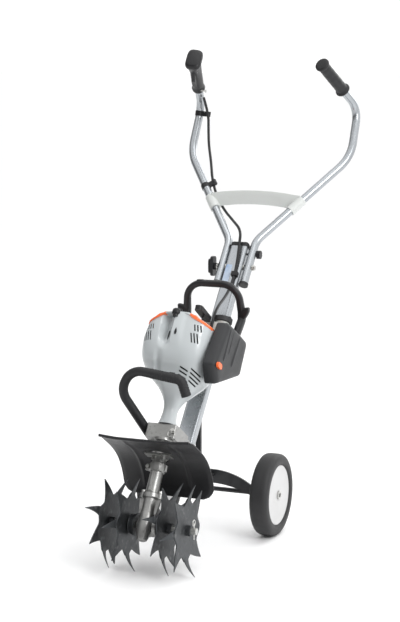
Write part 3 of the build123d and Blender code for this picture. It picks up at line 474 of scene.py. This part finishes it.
def shroud_point(s_nominal, angle):
    """Point of the outer skin, with the ridge, the groove beside it and the fold at the waist."""
    x0, x1, f0, f1, power = through(SHROUD, s_nominal)
    c, n = math.cos(angle), math.sin(angle)
    x = (x0 + x1) / 2 + math.copysign(abs(c) ** (2 / power), c) * (x1 - x0) / 2
    y = -(f0 + f1) / 2 + math.copysign(abs(n) ** (2 / power), n) * (f1 - f0) / 2
    s = s_nominal
    if s > SHROUD_BEND:
        s = SHROUD_BEND + (s - SHROUD_BEND) * (roof_at(x) - ROOF_DROP - SHROUD_BEND) / (SHROUD_TOP - SHROUD_BEND)
    front = smooth_step(-40, -70, y)
    gain = smooth_step(412, 462, s) * front
    ridge = smooth_step(-21, -12, x - RIDGE_X) * smooth_step(24, 14, x - RIDGE_X)
    valley = smooth_step(-42, -25, x - RIDGE_X) * smooth_step(-15, -21, x - RIDGE_X)
    y += gain * (valley * VALLEY_DEPTH - ridge * RIDGE_RISE) + front * smooth_step(420, 470, s) * 2
    waist = smooth_step(330, 370, s) * smooth_step(430, 385, s) * front
    left_fold = smooth_step(-46, -36, x) * smooth_step(-22, -34, x)
    y += waist * left_fold * FOLD_DEPTH
    return (x, y, s)


ROWS, ROUND = 72, 176
shroud_rings = []
for i in range(ROWS):
    s = SHROUD_LOW + (SHROUD_TOP - SHROUD_LOW) * i / (ROWS - 1)
    shroud_rings.append([shroud_point(s, 2 * math.pi * k / ROUND) for k in range(ROUND)])
shroud = mesh_object("shroud_shell", *loft(shroud_rings, caps=(True, False)))
shell = shroud.modifiers.new("wall", "SOLIDIFY")
shell.thickness = SHELL_WALL
shell.offset = -1
baked(shroud)
cutters = []
FRONT_CUT = -125
for row, (s0, s1) in enumerate(((465, 479), (437, 461))):
    for column in range(4):
        x = -81 + 7.0 * column - (3 if row else 0)
        cutters.append(brick(x, x + 3.0, FRONT_CUT, -52, s0, s1, -8))
for row, (s0, s1) in enumerate(((466, 483), (437, 461))):
    for column in range(3):
        x = 49 + 7.0 * column - (4.5 if row else 0)
        cutters.append(brick(x, x + 3.4, FRONT_CUT, -50, s0, s1, -12))
for group, (x0, x1, s_top, count) in enumerate(((24, 46, 374, 3), (50, 72, 372, 4))):
    for louvre in range(count):
        s = s_top - 8.5 * louvre
        x_from, x_to = x0 - 2.0 * louvre, x1 - 2.5 * louvre
        cutters.append(brick(x_from, x_to, FRONT_CUT, -36, s, s + 3.6, 24 + 8 * group))
cutters.append(brick(-2, 13, FRONT_CUT, -50, 362, 366, 4))
cutter = joined("cutter", *cutters)
cut = shroud.modifiers.new("slots", "BOOLEAN")
cut.operation, cut.solver, cut.object = "DIFFERENCE", "EXACT", cutter
baked(shroud)
bpy.data.objects.remove(cutter)
finish_piece(shroud, ENGINE, "white_shell", "root", ("engine_shroud", "clutch_housing"), limit=32)

# Dark sheet just inside the slots: painted shade, so that the shell reads as hollow.
LINER_LOW, LINER_TOP, LINER_ROWS, LINER_MIDDLE = 350, 470, 24, -26
liner_rings = []
for i in range(LINER_ROWS):
    s = LINER_LOW + (LINER_TOP - LINER_LOW) * i / (LINER_ROWS - 1)
    ring = []
    for k in range(64):
        x, y, sz = shroud_point(s, 2 * math.pi * k / 64)
        ring.append((x * 0.90, LINER_MIDDLE + (y - LINER_MIDDLE) * 0.88, sz))
    liner_rings.append(ring)
liner = mesh_object("shroud_shade_liner", *loft(liner_rings))
finish_piece(liner, ENGINE, "charcoal_plastic", "root", material=painted_shade_inside)


# Roof: white saddle in the middle, an orange wing each side.
ROOF_S, OVERHANG, EDGE_ROLL = 505, 0.6, 8


def shroud_reach(x, s_nominal, side):
    """y of the shroud's front (side -1) or rear (side 1) at x."""
    x0, x1, f0, f1, power = through(SHROUD, s_nominal)
    u = min(abs(x - (x0 + x1) / 2) / ((x1 - x0) / 2), 1.0)
    return -(f0 + f1) / 2 + side * (f1 - f0) / 2 * (1 - u ** power) ** (1 / power)


def wing(x_from, x_to, rise, thickness, curl):
    """Roof panel between two x, rolled down at front and rear, with a raised curl half way out."""
    columns, lines = 36, 24
    rings = []
    for i in range(columns + 1):
        x = x_from + (x_to - x_from) * i / columns
        y_front = shroud_reach(x, ROOF_S, -1) - OVERHANG
        y_rear = shroud_reach(x, ROOF_S, 1) + OVERHANG
        top, low = [], []
        for k in range(lines + 1):
            v = k / lines
            y = y_front + (y_rear - y_front) * v
            edge = min(v, 1 - v) * (y_rear - y_front)
            z = roof_at(x) + rise - max(0.0, EDGE_ROLL - edge) ** 2 / (2 * EDGE_ROLL)
            z += curl * math.exp(-((abs(x) - 47) / 7.5) ** 2)
            top.append((x, y, z))
            low.append((x, y, roof_at(x) - thickness))
        rings.append(top + low[::-1])
    return loft(rings)


roof_parts = [wing(-82.5, -31, 1.5, 6.5, 3.5), wing(33, 81, 1.5, 6.5, 3.5)]
wings = joined("roof_wings", *roof_parts)
finish_piece(wings, ENGINE, "orange_shell", "root", ("top_cover",), limit=50)
saddle = mesh_object("roof_saddle", *wing(-31.6, 33.6, 0.6, 6.0, 0.0))
finish_piece(saddle, ENGINE, "white_shell", "root", limit=50)
GUIDE_X, GUIDE_Y = 14, 15
COLLAR = [(508, 9.5), (518, 9.5), (522, 8.5), (522, 4), (509, 4)]
collar = mesh_object("rope_guide", *loft(moved(lathe(COLLAR, 32, "z"), GUIDE_X, GUIDE_Y, 0), (False, False), True))
finish_piece(collar, ENGINE, "black_plastic", "root")
KNOB = [(497, 7.0), (504, 7.0), (505, 9.6), (507, 10.4), (513, 10.4), (516, 9.4), (518.5, 6.5), (519.5, 2.5)]
knob = mesh_object("roof_knob", *loft(moved(lathe(KNOB, 36, "z"), -3, -108, 0)))
finish_piece(knob, ENGINE, "black_plastic", "root")
DROP = [(0.0, 470), (2.4, 463), (3.2, 458), (2.2, 453.5), (0, 452), (-2.2, 453.5), (-3.2, 458), (-2.4, 463)]
front_y = shroud_point(461, -math.pi / 2)[1]
mark = joined("vent_mark", loft([[(x + 6, front_y + dy, s) for x, s in DROP] for dy in (-0.7, 3)]))
finish_piece(mark, ENGINE, "black_plastic", "root")

# ---- filter cover -------------------------------------------------------------------------
FILTER = [(-54, 514), (31, 520), (88, 520), (86, 428), (-53, 351), (-92, 388)]


def corner_round(points, radius, per_corner=7):
    """Closed outline with arcs at its corners."""
    out = []
    count = len(points)
    for i in range(count):
        corner = Vector(points[i])
        a = (Vector(points[i - 1]) - corner).normalized()
        b = (Vector(points[(i + 1) % count]) - corner).normalized()
        half = a.angle(b) / 2
        reach = radius / math.tan(half)
        p, q = corner + a * reach, corner + b * reach
        for k in range(per_corner):
            t = k / (per_corner - 1)
            out.append(((1 - t) ** 2 * p + 2 * t * (1 - t) * corner + t ** 2 * q))
    return out


def inset(points, amount):
    """Outline moved towards its middle by an even amount."""
    middle = sum((Vector(p) for p in points), Vector((0, 0))) / len(points)
    nearer = []
    for p in points:
        away = Vector(p) - middle
        nearer.append(middle + away * (1 - amount / away.length))
    return nearer


# (x, inset of the outline, corner radius)
LID = [(85, 1.0, 12), (86.5, 0, 12), (96, 0, 12), (108, 0.6, 12), (114, 3.4, 12), (117.5, 8, 12), (119, 14, 12),
       (119.0, 30, 10), (118.4, 55, 10)]
lid_rings = []
for x, amount, radius in LID:
    outline = corner_round(inset(FILTER, amount), radius)
    lid_rings.append([(x, p.x, p.y) for p in outline])


def rib(y0, s0, y1, s1, width, x_base, height):
    """Long ridge with sloping sides and ends on the cover's face."""
    a, b = Vector((y0, s0)), Vector((y1, s1))
    way = (b - a).normalized()
    side = Vector((-way.y, way.x))
    rings = []
    for t, grow in ((0, 0.05), (0.06, 0.7), (0.12, 1), (0.88, 1), (0.94, 0.7), (1, 0.05)):
        p = a + (b - a) * t
        ring = []
        for u, lift in ((-1, 0), (-0.55, 0.8), (-0.2, 1), (0.2, 1), (0.55, 0.8), (1, 0)):
            q = p + side * (u * width * (0.5 + 0.5 * grow))
            ring.append((x_base + height * lift * grow, q.x, q.y))
        ring += [(x_base - 4, (p + side * width * 0.5).x, (p + side * width * 0.5).y),
                 (x_base - 4, (p - side * width * 0.5).x, (p - side * width * 0.5).y)]
        rings.append(ring)
    return loft(rings)


RIBS = [(-38, 508, -46, 412, 6, 117.5, 3.6), (30, 512, 10, 420, 7, 117.6, 3.4), (-70, 396, -40, 372, 4, 115, 2.4),
        (-16, 509, -22, 440, 2.2, 118, 1.6)]
lid = joined("filter_lid", loft(lid_rings), *[rib(*sizes) for sizes in RIBS])
finish_piece(lid, ENGINE, "charcoal_plastic", "root", ("filter_cover",), limit=34)

# ---- front handle -------------------------------------------------------------------------
FRONT = [(-30, 130, 274), (-111, 86, 419), (-79, 80, 475), (51, 80, 458), (63, 84, 419)]
RIBBED_LENGTH, CUFF, RIB_PITCH = 118, 3, 6.4


def path_length(path):
    return sum((b - a).length for a, b in zip(path, path[1:]))


front_path = filleted(FRONT, [50, 48, 17], 1.0)
total = path_length(front_path)
ribbed_from = total - RIBBED_LENGTH


def split_path(path, start, end):
    """The points of a path between two distances along it."""
    kept, travelled = [], 0.0
    for i, p in enumerate(path):
        if i:
            travelled += (p - path[i - 1]).length
        if start <= travelled <= end:
            kept.append(p)
    return kept


def sleeve_ring(t):
    grow = smooth_step(0, 34, t)
    return circle(9.2 + 2.3 * grow, 32)


def ribbed_ring(t):
    if t < CUFF or t > RIBBED_LENGTH - 5:
        return circle(12.1, 32)
    wave = abs(math.sin(math.pi * t / RIB_PITCH))
    return circle(11.2 + 1.1 * wave ** 0.7, 32)


sleeve = mesh_object("front_handle_sleeve", *swept(split_path(front_path, 12, ribbed_from + 2), sleeve_ring))
finish_piece(sleeve, DESIGN, "grip_rubber", "root", ("front_handle", "front_handle_grip"))
bellows = mesh_object("front_handle_ribs", *swept(split_path(front_path, ribbed_from, total), ribbed_ring))
finish_piece(bellows, DESIGN, "grip_rubber", "root", limit=60)

# ---- carrying handle ----------------------------------------------------------------------
CARRY = [(-75, 374, 518), (-76, 420, 560), (-68, 402, 646), (68, 402, 646), (76, 420, 560), (75, 374, 518)]
carry_path = filleted(CARRY, [22, 46, 46, 22], 2.0)
carry_total = path_length(carry_path)


def carry_ring(t):
    foot = smooth_step(130, 60, min(t, carry_total - t))
    return [(u * (1 + 0.12 * foot), v * (1 + 0.22 * foot)) for u, v, _ in rounded(8.6, 9.4, 2.7, 28)]


def horn(side):
    """Rope hook on the outside of each leg."""
    rings = []
    for x, y, z, wide, tall in ((68, 414, 566, 8.5, 20), (80, 413, 569, 8.5, 17), (88, 412, 574, 8, 14),
                                (94, 411, 579, 7.5, 10), (97, 411, 582, 6, 6)):
        rings.append([(side * x, y + v[0], z + v[1]) for v in rounded(wide, tall, 3.2, 24)])
    return loft(rings)


ring_lug = brick(-40, -26, 396, 408, 650, 655)
handle = joined("carry_bar", swept(carry_path, carry_ring), horn(1), horn(-1), ring_lug)
finish_piece(handle, DESIGN, "black_plastic", "root", ("carry_handle",), limit=45)

# ---- wheels -------------------------------------------------------------------------------
WHEEL_X, WHEEL_Y, WHEEL_R = 155.5, 423.2, 105.7
TYRE = [(-19, 77), (-23, 79.5), (-24.6, 84), (-24.8, 92), (-23.4, 98), (-20.5, 102.4), (-16, 104.8), (-10, 105.6),
        (0, 105.7), (10, 105.6), (16, 104.8), (20.5, 102.4), (23.4, 98), (24.8, 92), (24.6, 84), (23, 79.5),
        (19, 77)]
DISC = [(-14, 17), (-14, 70), (-18, 77), (18.5, 77), (20.2, 76), (20.6, 73), (19.4, 69), (19.0, 60), (18.6, 30),
        (18.8, 20), (19.4, 15), (19.0, 12), (18.0, 6.2), (-20, 6.2), (-22, 8), (-22, 15.5)]
for side, body in ((1, "wheel_right"), (-1, "wheel_left")):
    place = DESIGN @ Matrix.Translation((side * WHEEL_X, WHEEL_Y, WHEEL_R)) @ Matrix.Diagonal((side, 1, 1, 1))
    name = "right" if side > 0 else "left"
    tyre = mesh_object("tyre_shape_" + name, *tube(TYRE, 96))
    finish_piece(tyre, place, "tyre_rubber", body, ("tyre_" + name,), limit=50)
    disc = mesh_object("disc_shape_" + name, *tube(DISC, 96))
    finish_piece(disc, place, "white_disc", body, ("wheel_disc_" + name,), limit=40)

# ---- grips --------------------------------------------------------------------------------
# End of the right tube and the direction in which it ends; the left tube is its mirror image.
BAR_END, BAR_WAY = (181, 722, 1193), (-48, -164, 119)


def mirrored(point):
    return (-point[0], point[1], point[2])


RIGHT_GRIP = along(BAR_END, BAR_WAY)
CONTROL = along(mirrored(BAR_END), mirrored(BAR_WAY))
profile = [(-120, 11.2), (-120, 18.5), (-118.5, 20), (-116, 20), (-114.4, 18), (-113, 15.6)]
for k in range(27):
    t = k / 26
    a = -111 + 104 * t
    profile.append((a, 15.2 + 0.5 * math.sin(math.pi * 5 * t) ** 2 + (0.25 if k % 2 else 0)))
profile += [(-5, 16.4), (-4, 18.6), (-2, 19.4), (2, 19.2), (4, 17.6), (4.6, 12), (4.6, 0.01)]
grip = mesh_object("grip_sleeve_right", *loft(lathe(profile, 64, "z"), caps=(True, True)))
finish_piece(grip, RIGHT_GRIP, "grip_rubber", "handlebar", ("grip_right",), limit=50)

# ---- cable --------------------------------------------------------------------------------
CABLE = [(-202, 836, 1100), (-196, 857, 1056), (-190, 842, 1010), (-178, 816, 968), (-159, 786, 926),
         (-142, 752, 880), (-120, 732, 836), (-89, 711, 801), (-45, 660, 781), (-1, 606, 762),
         (4.5, 580, 726.5), (10, 554, 691), (13, 526, 655), (14, 488, 622), (18, 440, 604), (22, 388, 592),
         (27, 342, 570), (30, 318, 539)]
CABLE_R = 3.75
curve = bpy.data.curves.new("cable_line", "CURVE")
curve.dimensions = "3D"
curve.bevel_depth = CABLE_R * MM
curve.bevel_resolution = 4
curve.resolution_u = 10
curve.use_fill_caps = True
spline = curve.splines.new("NURBS")
spline.points.add(len(CABLE) - 1)
for point, place in zip(spline.points, CABLE):
    point.co = (*at(*place), 1)
spline.order_u = 3
spline.use_endpoint_u = True
line = bpy.data.objects.new("cable_line", curve)
bpy.context.scene.collection.objects.link(line)
bpy.context.view_layer.update()
cable_mesh = bpy.data.meshes.new_from_object(line.evaluated_get(bpy.context.evaluated_depsgraph_get()))
bpy.data.objects.remove(line)
cable = bpy.data.objects.new("throttle_cable", cable_mesh)
bpy.context.scene.collection.objects.link(cable)
sharpen(cable.data, 60)
cable.data.materials.clear()
cable.data.materials.append(MATERIALS["black_plastic"])
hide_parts("cable_upper", "cable_lower")
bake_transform(cable)

# ---- shield -------------------------------------------------------------------------------
ARC = [(0.0, -29.0, 324.0), (0.10, -6.0, 316.0), (0.28, 38.0, 295.0), (0.5, 78.5, 262.0), (0.72, 104.0, 225.0),
       (0.88, 117.0, 192.0), (0.95, 118.5, 176.0), (1.0, 116.0, 161.0)]
SHIELD_HALF, LOW_CORNER, TOP_CORNER, ARC_LENGTH = 119.5, 26, 10, 236
PASSAGE_HALF, PASSAGE_V, PASSAGE_REACH = 25.0, 0.44, 0.115
RIB_X = 60


def shield_point(u, v):
    """u across from -1 to 1; v from the top front edge back down to the lower lip."""
    y, z = through(ARC, v)
    low = max(0.0, v - 0.89) * ARC_LENGTH
    high = max(0.0, 0.035 - v) * ARC_LENGTH
    x = u * (SHIELD_HALF - LOW_CORNER + math.sqrt(LOW_CORNER ** 2 - low ** 2)
             - TOP_CORNER + math.sqrt(TOP_CORNER ** 2 - high ** 2))
    flare = smooth_step(0.55, 1.0, abs(u)) * smooth_step(0.30, 0.0, v)
    z += 8 * flare + 5 * (1 - flare) * smooth_step(0.2, 0.0, v)
    rib = math.exp(-((abs(x) - RIB_X) / 4.0) ** 2) * smooth_step(0.02, 0.12, v) * smooth_step(0.97, 0.85, v)
    y -= 2.2 * rib
    z -= 1.6 * rib
    y += 2.5 * smooth_step(0.9, 1.0, abs(u))
    return (x, y, z)


ACROSS, DOWN = 84, 60
shield_verts = [shield_point(-1 + 2 * i / ACROSS, j / DOWN) for j in range(DOWN + 1) for i in range(ACROSS + 1)]
shield_faces = []
for j in range(DOWN):
    for i in range(ACROSS):
        x, v = (-1 + 2 * (i + 0.5) / ACROSS) * SHIELD_HALF, (j + 0.5) / DOWN
        if (x / PASSAGE_HALF) ** 2 + ((v - PASSAGE_V) / PASSAGE_REACH) ** 2 < 1:
            continue
        a = j * (ACROSS + 1) + i
        shield_faces.append((a, a + 1, a + ACROSS + 2, a + ACROSS + 1))
shield = mesh_object("shield_sheet", shield_verts, shield_faces)
wall = shield.modifiers.new("wall", "SOLIDIFY")
wall.thickness, wall.offset = 3.0, 0
soft = shield.modifiers.new("soft", "BEVEL")
soft.width, soft.segments, soft.limit_method = 1.0, 2, "ANGLE"
baked(shield)
loose = bmesh.new()
loose.from_mesh(shield.data)
bmesh.ops.delete(loose, geom=[v for v in loose.verts if not v.link_faces], context="VERTS")
loose.to_mesh(shield.data)
loose.free()
finish_piece(shield, DESIGN, "black_plastic", "root", ("shield",), limit=45)


def bead_ring(t):
    return circle(3.6, 16)


bead_path = [Vector(shield_point(-1 + 2 * i / 60, 0.0)) for i in range(61)]
bead = mesh_object("shield_bead", *swept(bead_path, bead_ring, up=(0, 1, 0)))
finish_piece(bead, DESIGN, "black_plastic", "root")

# ---- tines --------------------------------------------------------------------------------
TINE_Z, TIP_R, PLATE_R, PLATE_WAVE, PICKS = 115, 114.6, 71, 5.5, 8
INNER_X, OUTER_X = 50, 99


def tooth(x, turn, half_width, root_r, tip_r, bend, hook, thick=3.0):
    """One pick: a tapering blade that bends out of the star's plane and hooks forward."""
    rings = []
    steps = 14
    for i in range(steps + 1):
        t = i / steps
        r = root_r + (tip_r - root_r) * t
        width = half_width * (1 - t) + 0.6
        lean = hook * t * t
        out = bend * (t ** 1.6)
        angle = math.radians(turn)
        c, n = math.cos(angle), math.sin(angle)
        ring = []
        for u, w in ((-1, -0.5), (0, -0.62), (1, -0.5), (1, 0.5), (0, 0.62), (-1, 0.5)):
            across = u * width + lean
            reach = min(r, math.sqrt(max(TIP_R ** 2 - across ** 2, 1)))
            ring.append((x + out + w * thick * (1 - 0.5 * t), reach * c - across * n, reach * n + across * c))
        rings.append(ring)
    return loft(rings)


HUB = [(-12, 8.2), (-12, 13), (-2, 13), (-1.5, 22), (1.5, 22), (2, 13), (12, 13), (12, 8.2)]
DRUM = [(29, 10), (29, 26), (30.5, 28), (32, 26.5), (42, 24), (43.5, 26), (45, 24), (45, 10)]


def star(x, turn, side):
    """Plate with eight picks, four in its plane and four bent to the sides in turn, and its hub."""
    plate = []
    for w in (-1.6, 1.6):
        ring = []
        for k in range(64):
            angle = 2 * math.pi * k / 64 + math.radians(turn)
            r = PLATE_R + PLATE_WAVE * math.cos(PICKS * (angle - math.radians(turn)))
            ring.append((x + w, r * math.cos(angle), r * math.sin(angle)))
        plate.append(ring)
    parts = [loft(plate)]
    for k in range(PICKS):
        angle = turn + 360 / PICKS * k
        if k % 2 == 0:
            parts.append(tooth(x, angle, 23, 58, TIP_R, 3 * side, 9))
        else:
            way = 1 if k % 4 == 1 else -1
            parts.append(tooth(x, angle, 13, 62, TIP_R - 4, 21 * way, 12))
    parts.append(tube([(x + a * side, r) for a, r in HUB], 32))
    return parts


# Each side has two stars and, between the inner one and the gear case, a spacer drum.
for side, name, turns in ((-1, "left", (8, 30)), (1, "right", (38, 15))):
    parts = star(side * OUTER_X, turns[0], side) + star(side * INNER_X, turns[1], side)
    parts.append(tube([(side * a, r) for a, r in DRUM], 40))
    tines = joined("tine_stars_" + name, *parts)
    place = DESIGN @ Matrix.Translation((0, 0, TINE_Z))
    finish_piece(tines, place, "tine_steel", "tine_set", ("tines_" + name,), limit=30)

# ---- gear case ----------------------------------------------------------------------------
CASE_Y = -21
CASE = [(-44, 3), (-43.5, 8), (-41, 12), (-35, 14.5), (-26, 16.5), (-12, 18.5), (12, 18.5), (26, 17), (34, 16),
        (60, 16), (61.5, 20), (63, 21), (73, 21), (74.5, 20), (76, 16.4), (90, 16), (110, 15.6), (127, 16),
        (128.5, 19), (130, 19.6), (148, 19.6), (149.5, 18.5), (151, 15.8), (178, 15.2), (200, 16), (204, 20.5),
        (205.5, 22), (212, 22)]
column = loft(moved(lathe(CASE, 48, "z"), 0, CASE_Y, 0))
BARREL = [(-21, 11), (-21, 22), (-19.5, 24.5), (-17, 25), (-6, 25), (-5, 26.4), (5, 26.4), (6, 25), (17, 25),
          (19.5, 24.5), (21, 24), (25, 22.5), (26, 21), (26, 11)]


def boss(x, z0, z1, radius):
    """Screw boss along the drive, rounded over at its ends."""
    shape = [(z0, radius * 0.8), (z0 + 1.2, radius), (z1 - 1.2, radius), (z1, radius * 0.8)]
    return loft(moved(lathe(shape, 20, "z"), x, CASE_Y, 0))


def web(side):
    """Triangular stiffener between the collar and the barrel."""
    outline = [(15, 22), (15, 60), (27, 60), (24, 40), (22, 24)]
    return loft([[(side * x, CASE_Y + dy, z) for x, z in outline] for dy in (-3, 3)])


bosses = [boss(-22, 60, 76, 7), boss(22, 60, 76, 7), boss(-23.5, 131, 147, 7), boss(20, 131, 147, 5)]
ears = brick(-22, 22, -26, -16, 63, 73)
fins = [brick(-3, 3, -41, -34, 78, 126), brick(-16.5, -11, -34, -24, 156, 198), brick(8, 13, -38, -32, 156, 198)]
case = joined("gear_housing", column, tube(BARREL, 56), *bosses, ears, web(1), web(-1), *fins)
finish_piece(case, ENGINE, "cast_aluminium", "root", ("gear_case",), limit=30)

# ---- control handle -----------------------------------------------------------------------
# (z, half width, half height, boxiness)
HEAD = [(-118, 15.3, 15.3, 2.0), (-117, 17.8, 17.8, 2.0), (-112, 18.4, 18.4, 2.0), (-109, 16.0, 16.4, 2.0),
        (-96, 15.3, 16.0, 2.1), (-60, 15.4, 17.6, 2.2), (-34, 15.4, 18.4, 2.3), (-16, 15.4, 21.0, 2.6),
        (0, 15.8, 25.5, 3.0), (12, 16.6, 28.6, 3.2), (15.5, 21.0, 29.6, 3.6), (22, 22.0, 30.6, 3.6),
        (27, 20.6, 29.0, 3.4), (30, 18.0, 26.0, 3.0), (31, 14.0, 21.0, 2.8)]
head = joined("control_grip", loft([rounded(a, b, power, 56, z=z) for z, a, b, power in HEAD]))
finish_piece(head, CONTROL, "black_plastic", "handlebar", ("control_handle",), limit=42)

# ---- profile strip ------------------------------------------------------------------------
# Plain coloured strip on the front face of the profile, and the axle rod in black.
strip = mesh_object("profile_strip", *loft([rounded(8.5, 36, 8, 40, (-10.5, 0), z) for z in (0, 0.5)]))
strip_place = PROFILE @ Matrix.Translation((0, -14.0, 494)) @ Matrix.Rotation(math.radians(90), 4, "X")
strip_paint = surface("strip_paint", (0.66, 0.70, 0.74), (0.10, 0.26, 0.52), (0.34, 0.42), 0, 900, 0.02, 34)
finish_piece(strip, strip_place, "light_grey_plastic", "root", material=strip_paint)
nodes["axle_rod"].data.materials[0] = MATERIALS["black_steel"]

# ---- floor --------------------------------------------------------------------------------
floor = bpy.data.objects.new("floor", bpy.data.meshes.new("floor"))
FLOOR = 60
floor.data.from_pydata([(-FLOOR, -FLOOR, 0), (FLOOR, -FLOOR, 0), (FLOOR, FLOOR, 0), (-FLOOR, FLOOR, 0)],
                       [], [(0, 1, 2, 3)])
bpy.context.scene.collection.objects.link(floor)
floor_paint = surface("floor_paint", (0.97, 0.97, 0.97), (0.955, 0.955, 0.96), (0.55, 0.7), 0, 200, 0.01, 2)
floor.data.materials.append(floor_paint)
